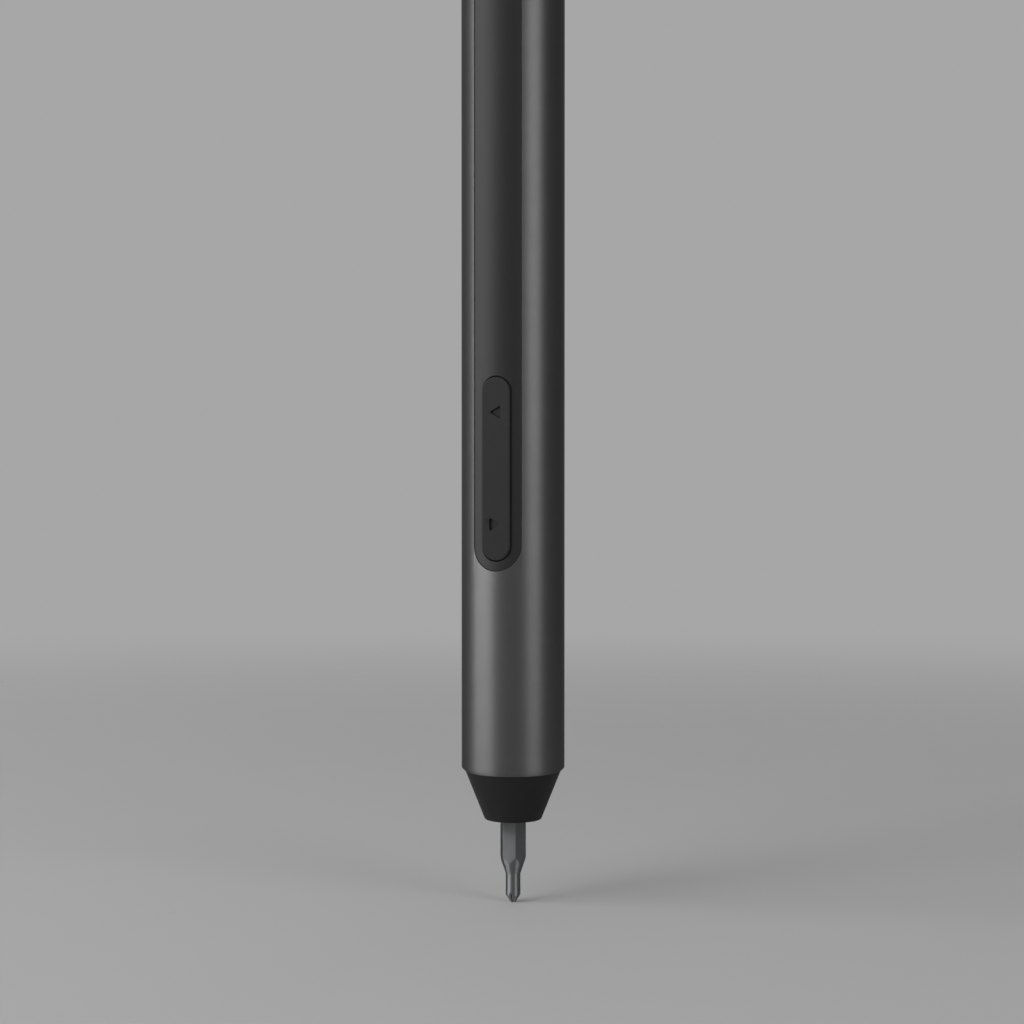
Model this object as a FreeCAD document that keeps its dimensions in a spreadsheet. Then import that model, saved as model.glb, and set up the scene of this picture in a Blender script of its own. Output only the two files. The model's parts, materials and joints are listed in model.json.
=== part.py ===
import FreeCAD, Part
import math
import operator
import os
from types import SimpleNamespace
import Sketcher

# A pen-style electric screwdriver, standing on its bit.
# The bit's tip is at the origin, +Z runs up the axis and the button panel faces -Y.
# Distances called "front" are measured from the axis towards -Y.

CELLS = [
    # barrel
    ("tube_diameter", 17.5, "outside of the barrel"),
    ("tube_wall", 1.1, "wall of the barrel"),
    ("tube_length", 150.0, "length of the barrel"),
    ("tube_chamfer", 0.65, "chamfer at both ends of the barrel"),
    ("slot_width", 8.4, "width of the panel slot"),
    ("slot_start", 34.3, "front end of the barrel to the panel slot"),
    ("slot_end", 7.2, "panel slot to the rear end of the barrel"),
    # clearances
    ("touch_gap", 0.02, "between pieces that seat on each other"),
    ("fit_gap", 0.05, "between pieces that slide into each other"),
    ("running_gap", 0.03, "between a shaft and its bore, on the radius"),
    ("end_play", 0.1, "between turning pieces along the axis"),
    ("overrun", 1.0, "how far a cut runs past the piece"),
    # panel and rocker
    ("panel_gap", 0.12, "gap round the inlaid panel"),
    ("panel_setback", 0.05, "panel face below the barrel's surface"),
    ("button_width", 4.9, "width of the rocker"),
    ("button_length", 30.8, "length of the rocker"),
    ("button_gap", 0.2, "gap round the rocker"),
    ("button_drop", 0.1, "rocker face below the barrel's crest"),
    ("button_rounding", 0.3, "rounded edge of the rocker face"),
    ("rim_width", 0.8, "rim that keeps the rocker behind the panel"),
    ("rim_thickness", 0.8, "thickness of that rim"),
    ("rim_depth", 2.35, "rocker face to the front of the rim"),
    ("rim_gap", 0.3, "gap round the rim"),
    ("pivot_depth", 3.75, "rocker face to the pivot"),
    ("pivot_diameter", 1.0, "pivot pin"),
    ("pivot_set", 0.15, "pivot pin's ends inside the chassis"),
    ("hub_diameter", 2.2, "rocker hub round the pivot pin"),
    ("hub_width", 3.0, "width of the rocker hub"),
    ("hub_mouth", 0.85, "opening through which the hub snaps on"),
    ("switch_spread", 9.3, "pivot to each switch"),
    ("triangle_side", 2.1, "side of the engraved triangles"),
    ("triangle_depth", 0.25, "depth of the engraving"),
    ("pusher_diameter", 1.6, "studs that press the switches"),
    ("pusher_reach", 0.45, "studs behind the rim"),
    ("pusher_gap", 0.05, "stud to switch plunger"),
    # nose and bit
    ("nose_length", 8.0, "length of the tapered nose"),
    ("nose_small", 9.6, "small end of the nose"),
    ("nose_step", 0.05, "large end of the nose inside the barrel's end face"),
    ("nose_rounding", 0.35, "rounded edge of the small end"),
    ("nose_hole_gap", 0.25, "gap between nose and spindle, on the radius"),
    ("bit_length", 28.0, "whole bit"),
    ("bit_across", 4.0, "across the flats of the bit"),
    ("bit_shank_length", 5.0, "tip to the cone"),
    ("bit_taper", 3.3, "cone between hexagon and shank"),
    ("bit_shank", 2.5, "round shank of the bit"),
    ("bit_end_chamfer", 0.3, "chamfer on the bit's inner end"),
    ("tip_flat", 0.9, "flat end of the cross tip"),
    ("tip_taper", 1.2, "length of the tip's cone"),
    ("flute_length", 1.9, "length of the tip's flutes"),
    ("flute_root", 0.22, "axis to the flute at the tip's end"),
    ("flute_width", 1.3, "width of a flute at the shank's surface"),
    # spindle, bushes and magnet
    ("spindle_diameter", 6.4, "bit holder"),
    ("spindle_set", 0.3, "bit holder inside the nose's face"),
    ("spindle_chamfer", 0.3, "chamfer at the bit holder's mouth"),
    ("socket_depth", 13.4, "bit inside the bit holder"),
    ("socket_gap", 0.04, "bit to socket, on each flat"),
    ("magnet_diameter", 3.9, "magnet behind the bit"),
    ("magnet_length", 2.0, "length of that magnet"),
    ("magnet_floor", 0.55, "metal behind the magnet"),
    ("collar_diameter", 8.6, "thrust collar on the spindle"),
    ("collar_thickness", 1.2, "thickness of the thrust collar"),
    ("stub_wall", 0.7, "planet pins to the spindle's end in its carrier"),
    ("stub_flat", 0.4, "depth of that end's two flats"),
    ("bush_length", 4.5, "front bush without its flange"),
    ("bush_diameter", 9.0, "outside of the front bush"),
    ("bush_flange", 0.9, "thickness of its flange"),
    ("bush_flange_diameter", 10.6, "diameter of its flange"),
    ("rear_bush_diameter", 8.6, "outside of the bush in the gear case"),
    ("washer_thickness", 0.5, "thrust washer"),
    ("washer_diameter", 9.8, "outside of the thrust washer"),
    # gear train
    ("case_rim", 0.8, "gear case outside its teeth"),
    ("tooth_play", 0.08, "how much wider than a tooth each gap is"),
    ("case_wall", 3.0, "front wall of the gear case"),
    ("shoulder_gap", 0.8, "that wall to the output carrier"),
    ("carrier_gap", 0.54, "planet carriers to the ring gear's teeth"),
    ("output_plate", 1.9, "thickness of the output carrier"),
    ("first_plate", 1.5, "thickness of the first carrier"),
    ("output_face", 3.4, "width of the output planets"),
    ("first_face", 2.9, "width of the first planets"),
    ("planet_pin", 1.4, "planet pins"),
    ("stage_gap", 0.2, "along the axis between planets and carriers"),
    # motor
    ("plate_thickness", 1.6, "plate between gear case and motor"),
    ("motor_gap", 0.5, "motor can to the chassis"),
    ("motor_length", 13.4, "motor can"),
    ("motor_wall", 0.6, "sheet of the motor can"),
    ("motor_boss", 3.0, "diameter of the bearing boss on the can"),
    ("motor_boss_length", 1.0, "length of that boss"),
    ("motor_shaft_diameter", 1.0, "motor shaft"),
    ("magnet_thickness", 1.0, "motor magnets"),
    ("air_gap", 0.25, "magnets to armature"),
    ("armature_start", 2.4, "front of the can to the armature"),
    ("armature_length", 6.0, "lamination stack with its windings"),
    ("armature_slot", 0.8, "mouth of the winding slots"),
    ("core_wall", 0.83, "iron between the shaft and the winding slots"),
    ("pole_tip", 0.6, "iron outside the winding slots"),
    ("commutator_diameter", 2.8, "commutator"),
    ("commutator_length", 2.2, "commutator"),
    ("bell_plug", 1.4, "end bell inside the can"),
    ("bell_length", 1.3, "end bell outside the can"),
    ("bell_step", 1.5, "end bell inside the can's outside"),
    ("bell_floor", 0.3, "closed end of the bell, behind the shaft"),
    ("terminal_width", 1.6, "motor terminals"),
    ("terminal_thickness", 0.3, "motor terminals"),
    ("terminal_length", 1.7, "motor terminals outside the end bell"),
    ("terminal_spread", 5.6, "distance between the terminals"),
    ("motor_screw", 1.4, "screws that hold the motor"),
    ("motor_screw_head", 2.4, "their countersunk heads"),
    ("motor_screw_set", 1.6, "motor's outside to their axes"),
    ("motor_screw_length", 2.6, "their whole length"),
    # chassis
    ("chassis_wall", 1.1, "wall of the chassis halves"),
    ("chassis_split", 0.1, "gap between the halves"),
    ("rib_width", 1.5, "ribs that seat the motor and the cell"),
    ("rib_set", 1.5, "motor's ends to their ribs"),
    ("rib_height", 1.45, "ribs at the cell"),
    ("bulkhead", 3.0, "bulkheads at both ends of the cell"),
    ("bulkhead_set", 2.0, "rocker's upper end to the first bulkhead"),
    ("chassis_screw", 1.4, "screws that join the halves"),
    ("chassis_screw_head", 2.4, "their heads"),
    ("chassis_screw_head_height", 0.9, "their heads"),
    ("chassis_screw_length", 5.6, "under the head"),
    ("chassis_screw_set", 1.9, "chassis bore to their axes"),
    ("chassis_screw_sink", 0.35, "heads below the outside of the chassis"),
    # boards and switches
    ("board_thickness", 0.8, "both boards"),
    ("board_gap", 0.4, "main board's edges to the chassis"),
    ("board_margin", 4.0, "main board past each switch"),
    ("rail_width", 0.8, "chassis rails at the boards' edges"),
    ("switch_size", 3.5, "switch body"),
    ("switch_height", 1.2, "switch body"),
    ("plunger_diameter", 1.7, "switch plunger"),
    ("plunger_rise", 0.5, "plunger above the switch body"),
    ("plunger_depth", 0.5, "plunger inside the switch body"),
    ("plunger_room", 0.4, "room under the plunger"),
    ("chip_size", 3.0, "motor driver and controller"),
    ("chip_height", 0.9, "motor driver and controller"),
    ("chip_spread", 4.7, "pivot to each chip"),
    # leads
    ("lead_diameter", 0.9, "insulated leads"),
    ("lead_bend", 1.2, "bend radius of the leads, at their middle line"),
    ("lead_pitch", 1.05, "between leads side by side"),
    ("lead_gap", 0.2, "round the leads in their channel and hole"),
    ("motor_lead_rise", 4.4, "motor leads past the end bell"),
    ("lead_tail", 3.0, "board's edge or switch to the place where a lead ends"),
    # cell, charging port and cap
    ("cell_nub", 1.0, "height of the positive nub"),
    ("cell_nub_diameter", 3.4, "positive nub"),
    ("cell_rounding", 0.4, "rounded edges of the cell"),
    ("contact_thickness", 0.25, "contact plates of the cell"),
    ("contact_set", 1.5, "contact plates inside the cell's outside"),
    ("charge_gap", 4.7, "second bulkhead to the charge board"),
    ("charge_board_length", 24.0, "charge board"),
    ("charge_board_gap", 1.42, "charge board's edges to the chassis"),
    ("charge_board_set", 3.6, "outer face of the cap to the charge board"),
    ("port_width", 8.94, "charging socket"),
    ("port_height", 3.26, "charging socket"),
    ("port_length", 7.3, "charging socket"),
    ("port_wall", 0.3, "sheet of the charging socket"),
    ("port_set", 0.3, "charging socket inside the cap's face"),
    ("port_back", 0.8, "closed back of the charging socket"),
    ("tongue_width", 6.7, "contact tongue"),
    ("tongue_height", 0.7, "contact tongue"),
    ("tongue_length", 4.6, "contact tongue"),
    ("cap_height", 1.7, "cap outside the barrel"),
    ("cap_rounding", 0.7, "rounded edge of the cap"),
    ("cap_spigot", 6.0, "cap inside the barrel"),
    ("cap_wall", 1.1, "wall of that spigot"),
    ("cap_floor", 2.2, "thickness of the cap's end"),
]

# Shares of the module that set the tooth form, of a circle for a motor magnet, and of the cell for its ribs.
SUN_TIP_SHARE = 0.7
PLANET_TIP_SHARE = 0.6
TOOTH_ROOT_SHARE = 1.15
HALF_TOOTH_SHARE = 0.785398
MAGNET_TURN_SHARE = 0.33
CELL_RIB_SHARE = 0.3
# Angles in degrees: a whole turn, a tooth's flank to its middle line, the screws' countersink to the axis.
TURN = 360
FLANK_LEAN = 23
SINK_LEAN = 45
# Counts. The planets' teeth are twice the sun's, and the ring's are five times.
SUN_TEETH = 10
PLANET_TEETH = 2 * SUN_TEETH
RING_TEETH = 5 * SUN_TEETH
PLANETS = 3
POLES = 3
WINGS = 4
HEX_SIDES = 6

doc = FreeCAD.newDocument("pen_screwdriver")
sheet = doc.addObject("Spreadsheet::Sheet", "Sizes")


class Size:
    """A size worked out from the sheet: the formula that drives the model, and its present value."""

    def __init__(self, formula, value):
        self.formula = formula
        self.value = value

    def __add__(self, other):
        return joined(self, "+", other)

    def __sub__(self, other):
        return joined(self, "-", other)

    def __mul__(self, other):
        return joined(self, "*", other)

    def __truediv__(self, other):
        return joined(self, "/", other)

    def __radd__(self, other):
        return joined(other, "+", self)

    def __rsub__(self, other):
        return joined(other, "-", self)

    def __rmul__(self, other):
        return joined(other, "*", self)

    def __rtruediv__(self, other):
        return joined(other, "/", self)

    def __neg__(self):
        return joined(-1, "*", self)


SIGNS = {"+": operator.add, "-": operator.sub, "*": operator.mul, "/": operator.truediv}


def as_size(number):
    return number if isinstance(number, Size) else Size(f"({number})", number)


def joined(one, sign, other):
    one, other = as_size(one), as_size(other)
    return Size(f"({one.formula} {sign} {other.formula})", SIGNS[sign](one.value, other.value))


def sine(angle):
    return Size(f"sin({angle.formula})", math.sin(math.radians(angle.value)))


def cosine(angle):
    return Size(f"cos({angle.formula})", math.cos(math.radians(angle.value)))


def tangent(angle):
    return Size(f"tan({angle.formula})", math.tan(math.radians(angle.value)))


def root(size):
    return Size(f"sqrt({size.formula})", math.sqrt(size.value))


def beside(radius, across):
    """How far a circle reaches in one direction, at a distance from its middle in the other."""
    return root(radius * radius - across * across)


def fill_sheet():
    """Write the driving dimensions into the sheet, and give each back as a Size."""
    sizes = {}
    for row, (alias, value, note) in enumerate(CELLS, 1):
        sheet.set(f"A{row}", note)
        sheet.set(f"B{row}", str(value))
        sheet.setAlias(f"B{row}", alias)
        sizes[alias] = Size(f"Sizes.{alias}", float(value))
    doc.recompute()
    return SimpleNamespace(**sizes)


s = fill_sheet()
ZERO = as_size(0)
SUN_TURN = as_size(TURN / SUN_TEETH / 2)

# Sizes that several pieces share.
tube_radius = s.tube_diameter / 2
bore_radius = tube_radius - s.tube_wall
insert_radius = bore_radius - s.fit_gap
slot_radius = s.slot_width / 2
nose_face = s.bit_length - s.socket_depth - s.spindle_set
tube_front = nose_face + s.nose_length
tube_rear = tube_front + s.tube_length
slot_low = tube_front + s.slot_start
slot_high = tube_rear - s.slot_end
cap_low = tube_rear - s.cap_spigot
cap_face = tube_rear + s.cap_height

button_radius = s.button_width / 2
button_low = slot_low + slot_radius - button_radius
rocker_z = button_low + s.button_length / 2
button_high = button_low + s.button_length
button_front = tube_radius - s.button_drop
rim_front = button_front - s.rim_depth
rim_back = rim_front - s.rim_thickness
rim_radius = button_radius + s.rim_width
pivot_front = button_front - s.pivot_depth
pivot_radius = s.pivot_diameter / 2
pivot_half = beside(insert_radius, pivot_front + pivot_radius) - s.pivot_set

corner_radius = s.bit_across / root(as_size(3))
shank_radius = s.bit_shank / 2
spindle_radius = s.spindle_diameter / 2
spindle_mouth = nose_face + s.spindle_set
magnet_low = s.bit_length + s.touch_gap
magnet_high = magnet_low + s.magnet_length
spindle_shoulder = magnet_high + s.magnet_floor
case_floor = spindle_shoulder - s.shoulder_gap
case_front = case_floor - s.case_wall
washer_high = case_front - s.touch_gap
washer_low = washer_high - s.washer_thickness
collar_high = washer_low - s.fit_gap
collar_low = collar_high - s.collar_thickness
bush_high = collar_low - s.end_play
bush_shoulder = bush_high - s.bush_flange
bush_low = bush_shoulder - s.bush_length

gear_module = (insert_radius - s.case_rim) / (RING_TEETH / 2 + TOOTH_ROOT_SHARE)
sun_radius = gear_module * SUN_TEETH / 2
planet_radius = gear_module * PLANET_TEETH / 2
ring_radius = gear_module * RING_TEETH / 2
ring_tip = ring_radius - gear_module * PLANET_TIP_SHARE
carrier_radius = ring_tip - s.carrier_gap
planet_orbit = sun_radius + planet_radius
stub_radius = planet_orbit - s.planet_pin / 2 - s.stub_wall
stub_half = stub_radius - s.stub_flat
output_plate_low = spindle_shoulder + s.touch_gap
output_plate_high = output_plate_low + s.output_plate
output_face_low = output_plate_high + s.stage_gap
output_face_high = output_face_low + s.output_face
first_plate_low = output_face_high + s.stage_gap
first_plate_high = first_plate_low + s.first_plate
first_face_low = first_plate_high + s.stage_gap
first_face_high = first_face_low + s.first_face
case_rear = first_face_high + 2 * s.stage_gap

chassis_bore = insert_radius - s.chassis_wall
motor_front = case_rear + s.plate_thickness
motor_radius = chassis_bore - s.motor_gap
motor_bore = motor_radius - s.motor_wall
motor_rear = motor_front + s.motor_length
motor_screw_x = motor_radius - s.motor_screw_set
bell_rear = motor_rear + s.bell_length
bell_floor = bell_rear - s.bell_floor
armature_low = motor_front + s.armature_start
armature_high = armature_low + s.armature_length
armature_radius = motor_bore - s.magnet_thickness - s.air_gap
shaft_radius = s.motor_shaft_diameter / 2
shaft_end = bell_floor - s.end_play

plunger_front = rim_back - s.pusher_reach - s.pusher_gap
switch_front = plunger_front - s.plunger_rise
board_front = switch_front - s.switch_height
board_back = board_front - s.board_thickness
board_half = beside(chassis_bore, board_front) - s.board_gap
board_low = rocker_z - s.switch_spread - s.board_margin
board_high = rocker_z + s.switch_spread + s.board_margin
charge_board_high = cap_face - s.charge_board_set
charge_board_low = charge_board_high - s.charge_board_length
charge_board_near = s.port_height / 2 + s.touch_gap
charge_board_back = charge_board_near + s.board_thickness
charge_board_half = beside(chassis_bore, charge_board_back) - s.charge_board_gap

bulkhead_low = button_high + s.bulkhead_set
bulkhead_high = bulkhead_low + s.bulkhead
second_bulkhead_high = charge_board_low - s.charge_gap
second_bulkhead_low = second_bulkhead_high - s.bulkhead
cell_radius = chassis_bore - s.rib_height - s.fit_gap
cell_low = bulkhead_high + s.contact_thickness + 2 * s.touch_gap
cell_end = second_bulkhead_low - s.contact_thickness - 2 * s.touch_gap
cell_high = cell_end - s.cell_nub
chassis_high = cap_low - s.touch_gap
screw_x = chassis_bore - s.chassis_screw_set
screw_outside = beside(insert_radius, screw_x + s.chassis_screw_head / 2)
screw_seat = screw_outside - s.chassis_screw_sink - s.chassis_screw_head_height
lead_hole = s.lead_pitch + s.lead_diameter / 2 + s.lead_gap

parts = []
cuts = []


def bind(thing, name, size):
    thing.setExpression(name, size.formula)


def part_of(thing, label):
    """Name a finished sub-part and keep it for export."""
    thing.Label = label
    parts.append(thing)
    return thing


def new_body(label):
    return part_of(doc.addObject("PartDesign::Body", label), label)


def helper_body(name):
    return doc.addObject("PartDesign::Body", name)


def origin_of(body, role):
    return next(feature for feature in body.Origin.OriginFeatures if feature.Role == role)


def sketch_on(body, role, offset=ZERO):
    """A sketch on one of the body's own origin planes, moved along that plane's normal."""
    sketch = body.newObject("Sketcher::SketchObject", "Sketch")
    sketch.AttachmentSupport = (origin_of(body, role), [""])
    sketch.MapMode = "FlatFace"
    bind(sketch, "AttachmentOffset.Base.z", offset)
    return sketch


def hold(sketch, line, end, x, y):
    """Tie one point of a sketch to its place."""
    for kind, size in (("DistanceX", x), ("DistanceY", y)):
        number = sketch.addConstraint(Sketcher.Constraint(kind, -1, 1, line, end, size.value))
        bind(sketch, f"Constraints[{number}]", size)


def spot(point):
    return FreeCAD.Vector(point[0].value, point[1].value, 0)


def straight(sketch, start, finish):
    line = sketch.addGeometry(Part.LineSegment(spot(start), spot(finish)), False)
    hold(sketch, line, 1, *start)
    hold(sketch, line, 2, *finish)
    return line


def polygon(sketch, points):
    first = sketch.GeometryCount
    count = len(points)
    spots = [spot(point) for point in points]
    for i in range(count):
        sketch.addGeometry(Part.LineSegment(spots[i], spots[(i + 1) % count]), False)
    for i in range(count):
        following = first + (i + 1) % count
        sketch.addConstraint(Sketcher.Constraint("Coincident", first + i, 2, following, 1))
    for i, (x, y) in enumerate(points):
        hold(sketch, first + i, 1, x, y)


def rectangle(sketch, x_low, x_high, y_low, y_high):
    polygon(sketch, [(x_low, y_low), (x_high, y_low), (x_high, y_high), (x_low, y_high)])


def circle(sketch, x, y, radius):
    number = sketch.addGeometry(Part.Circle(spot((x, y)), FreeCAD.Vector(0, 0, 1), radius.value), False)
    hold(sketch, number, 3, x, y)
    ring = sketch.addConstraint(Sketcher.Constraint("Radius", number, radius.value))
    bind(sketch, f"Constraints[{ring}]", radius)


def pill(sketch, low, high, radius, lying=False):
    """A slot outline, upright or lying, with the places of its round ends' centres given."""

    def turned(across, along):
        return (along, -across) if lying else (across, along)

    first = straight(sketch, turned(radius, low), turned(radius, high))
    straight(sketch, turned(-radius, high), turned(-radius, low))
    for side, centre in ((radius, high), (-radius, low)):
        ends = [spot(turned(side, centre)), spot(turned(-side, centre))]
        sketch.addGeometry(Part.Arc(ends[0], spot(turned(ZERO, centre + side)), ends[1]), False)
    level = "DistanceX" if lying else "DistanceY"
    for arc, centre in ((first + 2, high), (first + 3, low)):
        number = sketch.addConstraint(Sketcher.Constraint(level, -1, 1, arc, 3, centre.value))
        bind(sketch, f"Constraints[{number}]", centre)
    for line, line_end, arc, arc_end in (
        (first, 2, first + 2, 1),
        (first + 1, 1, first + 2, 2),
        (first + 1, 2, first + 3, 1),
        (first, 1, first + 3, 2),
    ):
        sketch.addConstraint(Sketcher.Constraint("Coincident", line, line_end, arc, arc_end))


def bend_end(corner, other, bend):
    """Where the bend at a corner runs into the straight piece that leads to another point."""
    steps = [other[axis].value - corner[axis].value for axis in (0, 1)]
    if abs(steps[0]) > abs(steps[1]):
        return corner[0] + bend * math.copysign(1, steps[0]), corner[1]
    return corner[0], corner[1] + bend * math.copysign(1, steps[1])


def bent_line(sketch, points, bend):
    """A line through points, each straight above or beside the last, with its corners rounded."""
    start = points[0]
    for before, corner, after in zip(points, points[1:], points[2:]):
        entry, leaving = bend_end(corner, before, bend), bend_end(corner, after, bend)
        centre = [entry[axis] + leaving[axis] - corner[axis] for axis in (0, 1)]
        outward = (spot(corner) - spot(centre)).normalize()
        straight(sketch, start, entry)
        round_corner(sketch, entry, spot(centre) + outward * bend.value, leaving, centre[0])
        start = leaving
    straight(sketch, start, points[-1])


def round_corner(sketch, entry, middle, leaving, centre_across):
    """An arc whose ends and centre are tied to their places."""
    arc = sketch.addGeometry(Part.Arc(spot(entry), middle, spot(leaving)), False)
    turned = (sketch.getPoint(arc, 1) - spot(entry)).Length > (sketch.getPoint(arc, 2) - spot(entry)).Length
    hold(sketch, arc, 2 if turned else 1, *entry)
    hold(sketch, arc, 1 if turned else 2, *leaving)
    number = sketch.addConstraint(Sketcher.Constraint("DistanceX", -1, 1, arc, 3, centre_across.value))
    bind(sketch, f"Constraints[{number}]", centre_across)


def hexagon(sketch, across):
    """A hexagon with two of its flats facing the panel and the back."""
    corner = across / root(as_size(3))
    turns = [as_size(TURN / HEX_SIDES * i) for i in range(HEX_SIDES)]
    polygon(sketch, [(corner * cosine(turn), corner * sine(turn)) for turn in turns])


def feature_of(body, kind, sketch):
    feature = body.newObject(kind, kind.split("::")[1])
    feature.Profile = sketch
    return feature


def pad(body, sketch, length, both=False, back=False):
    feature = feature_of(body, "PartDesign::Pad", sketch)
    bind(feature, "Length", length)
    feature.Midplane = both
    feature.Reversed = back
    return feature


def pocket(body, sketch, length, both=False, back=False):
    feature = feature_of(body, "PartDesign::Pocket", sketch)
    bind(feature, "Length", length)
    feature.Midplane = both
    feature.Reversed = back
    cuts.append(feature)
    return feature


def turn(body, points):
    """Revolve an outline of radius and height about the axis."""
    sketch = sketch_on(body, "XZ_Plane")
    polygon(sketch, points)
    feature = feature_of(body, "PartDesign::Revolution", sketch)
    feature.ReferenceAxis = (sketch, ["V_Axis"])
    feature.Angle = TURN
    return feature


def groove(body, points):
    sketch = sketch_on(body, "XZ_Plane")
    polygon(sketch, points)
    feature = feature_of(body, "PartDesign::Groove", sketch)
    feature.ReferenceAxis = (sketch, ["V_Axis"])
    feature.Angle = TURN
    cuts.append(feature)
    return feature


def ring(body, inner, outer, low, high):
    return turn(body, [(inner, low), (outer, low), (outer, high), (inner, high)])


def polar(body, feature, count):
    pattern = body.newObject("PartDesign::PolarPattern", "PolarPattern")
    pattern.Originals = [feature]
    pattern.Axis = (origin_of(body, "Z_Axis"), [""])
    pattern.Angle = TURN
    bind(pattern, "Occurrences", as_size(count))
    body.Tip = pattern
    return pattern


def round_edges(body, radius, chosen):
    """Round those edges of the body so far that chosen picks."""
    doc.recompute()
    base = body.Tip
    names = [f"Edge{i}" for i, edge in enumerate(base.Shape.Edges, 1) if chosen(edge)]
    feature = body.newObject("PartDesign::Fillet", "Fillet")
    feature.Base = (base, names)
    bind(feature, "Radius", radius)
    return feature


def lies_at(edge, axis, size):
    """Does the whole edge lie in the plane at this height along an axis?"""
    box = edge.BoundBox
    low, high = getattr(box, axis + "Min"), getattr(box, axis + "Max")
    near = s.touch_gap.value
    return abs(low - size.value) < near and abs(high - size.value) < near


def box(x_low, x_high, y_low, y_high, z_low, z_high):
    """A Part box between six planes, for small pieces that come in groups."""
    made = doc.addObject("Part::Box", "Box")
    for name, low, high in (("Length", x_low, x_high), ("Width", y_low, y_high), ("Height", z_low, z_high)):
        bind(made, name, high - low)
    for name, low in (("x", x_low), ("y", y_low), ("z", z_low)):
        bind(made, f"Placement.Base.{name}", low)
    return made


def rod(x, y, low, high, radius):
    """A Part cylinder along the axis' direction."""
    made = doc.addObject("Part::Cylinder", "Rod")
    bind(made, "Radius", radius)
    bind(made, "Height", high - low)
    for name, size in (("x", x), ("y", y), ("z", low)):
        bind(made, f"Placement.Base.{name}", size)
    return made


def group(label, members):
    made = doc.addObject("Part::Compound", label)
    made.Links = members
    return part_of(made, label)


def on_orbit(radius, step):
    """Where a planet or its pin stands."""
    angle = as_size(TURN * step / PLANETS)
    return radius * cosine(angle), radius * sine(angle)


def make_body_tube():
    body = new_body("body_tube")
    edge = tube_radius - s.tube_chamfer
    turn(
        body,
        [
            (bore_radius, tube_front),
            (edge, tube_front),
            (tube_radius, tube_front + s.tube_chamfer),
            (tube_radius, tube_rear - s.tube_chamfer),
            (edge, tube_rear),
            (bore_radius, tube_rear),
        ],
    )
    slot = sketch_on(body, "XZ_Plane")
    pill(slot, slot_low + slot_radius, slot_high - slot_radius, slot_radius)
    pocket(body, slot, tube_radius + s.overrun, back=True)


def make_nose_cone():
    body = new_body("nose_cone")
    hole = spindle_radius + s.nose_hole_gap
    seat = s.bush_diameter / 2 + s.touch_gap
    relief = s.bush_flange_diameter / 2 + s.fit_gap
    spigot_top = case_front - s.fit_gap
    turn(
        body,
        [
            (hole, nose_face),
            (s.nose_small / 2, nose_face),
            (tube_radius - s.tube_chamfer - s.nose_step, tube_front),
            (insert_radius, tube_front),
            (insert_radius, spigot_top),
            (relief, spigot_top),
            (relief, bush_shoulder),
            (seat, bush_shoulder),
            (seat, bush_low),
            (hole, bush_low),
        ],
    )
    rim = s.nose_small.value - s.nose_rounding.value
    round_edges(body, s.nose_rounding, lambda e: lies_at(e, "Z", nose_face) and e.BoundBox.XLength > rim)


def make_panel_strip():
    blank = helper_body("PanelBlank")
    outline = sketch_on(blank, "XZ_Plane")
    pill(outline, slot_low + slot_radius, slot_high - slot_radius, slot_radius - s.panel_gap)
    pill(
        outline,
        button_low + button_radius,
        button_high - button_radius,
        button_radius + s.button_gap,
    )
    pad(blank, outline, tube_radius + s.overrun)
    curve = helper_body("PanelCurve")
    ring(curve, insert_radius + s.touch_gap, tube_radius - s.panel_setback, slot_low, slot_high)
    strip = doc.addObject("Part::Common", "PanelStrip")
    strip.Base = blank
    strip.Tool = curve
    part_of(strip, "panel_strip")


def engrave(body, height, pointing):
    """One engraved triangle on the rocker, with its tip to one side."""
    sketch = sketch_on(body, "XZ_Plane", button_front)
    half = s.triangle_side / 2
    reach = s.triangle_side * root(as_size(3)) / 4 * pointing
    polygon(sketch, [(reach, height), (-reach, height + half), (-reach, height - half)])
    pocket(body, sketch, s.triangle_depth)


def make_rocker_button():
    body = new_body("rocker_button")
    cap = sketch_on(body, "XZ_Plane", rim_back)
    pill(cap, button_low + button_radius, button_high - button_radius, button_radius)
    pad(body, cap, button_front - rim_back)
    round_edges(body, s.button_rounding, lambda e: lies_at(e, "Y", -button_front))
    rim = sketch_on(body, "XZ_Plane", rim_back)
    pill(rim, button_low + button_radius, button_high - button_radius, rim_radius)
    pad(body, rim, s.rim_thickness)
    hub = sketch_on(body, "YZ_Plane")
    hub_radius = s.hub_diameter / 2
    root_y = -rim_back - s.rim_thickness / 2
    rectangle(hub, root_y, -pivot_front, rocker_z - hub_radius, rocker_z + hub_radius)
    pad(body, hub, s.hub_width, both=True)
    end = sketch_on(body, "YZ_Plane")
    circle(end, -pivot_front, rocker_z, hub_radius)
    pad(body, end, s.hub_width, both=True)
    bore = sketch_on(body, "YZ_Plane")
    circle(bore, -pivot_front, rocker_z, pivot_radius + s.running_gap)
    pocket(body, bore, s.hub_width + s.overrun, both=True)
    mouth = sketch_on(body, "YZ_Plane")
    gap = s.hub_mouth / 2
    rectangle(mouth, -pivot_front, s.overrun + hub_radius - pivot_front, rocker_z - gap, rocker_z + gap)
    pocket(body, mouth, s.hub_width + s.overrun, both=True)
    stud_front = plunger_front + s.pusher_gap
    for side in (-1, 1):
        stud = sketch_on(body, "XZ_Plane", stud_front)
        circle(stud, ZERO, rocker_z + s.switch_spread * side, s.pusher_diameter / 2)
        pad(body, stud, rim_front - stud_front)
    engrave(body, rocker_z + s.switch_spread, -1)
    engrave(body, rocker_z - s.switch_spread, 1)


def make_rocker_pin():
    body = new_body("rocker_pin")
    sketch = sketch_on(body, "YZ_Plane")
    circle(sketch, -pivot_front, rocker_z, pivot_radius)
    pad(body, sketch, 2 * pivot_half, both=True)


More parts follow.
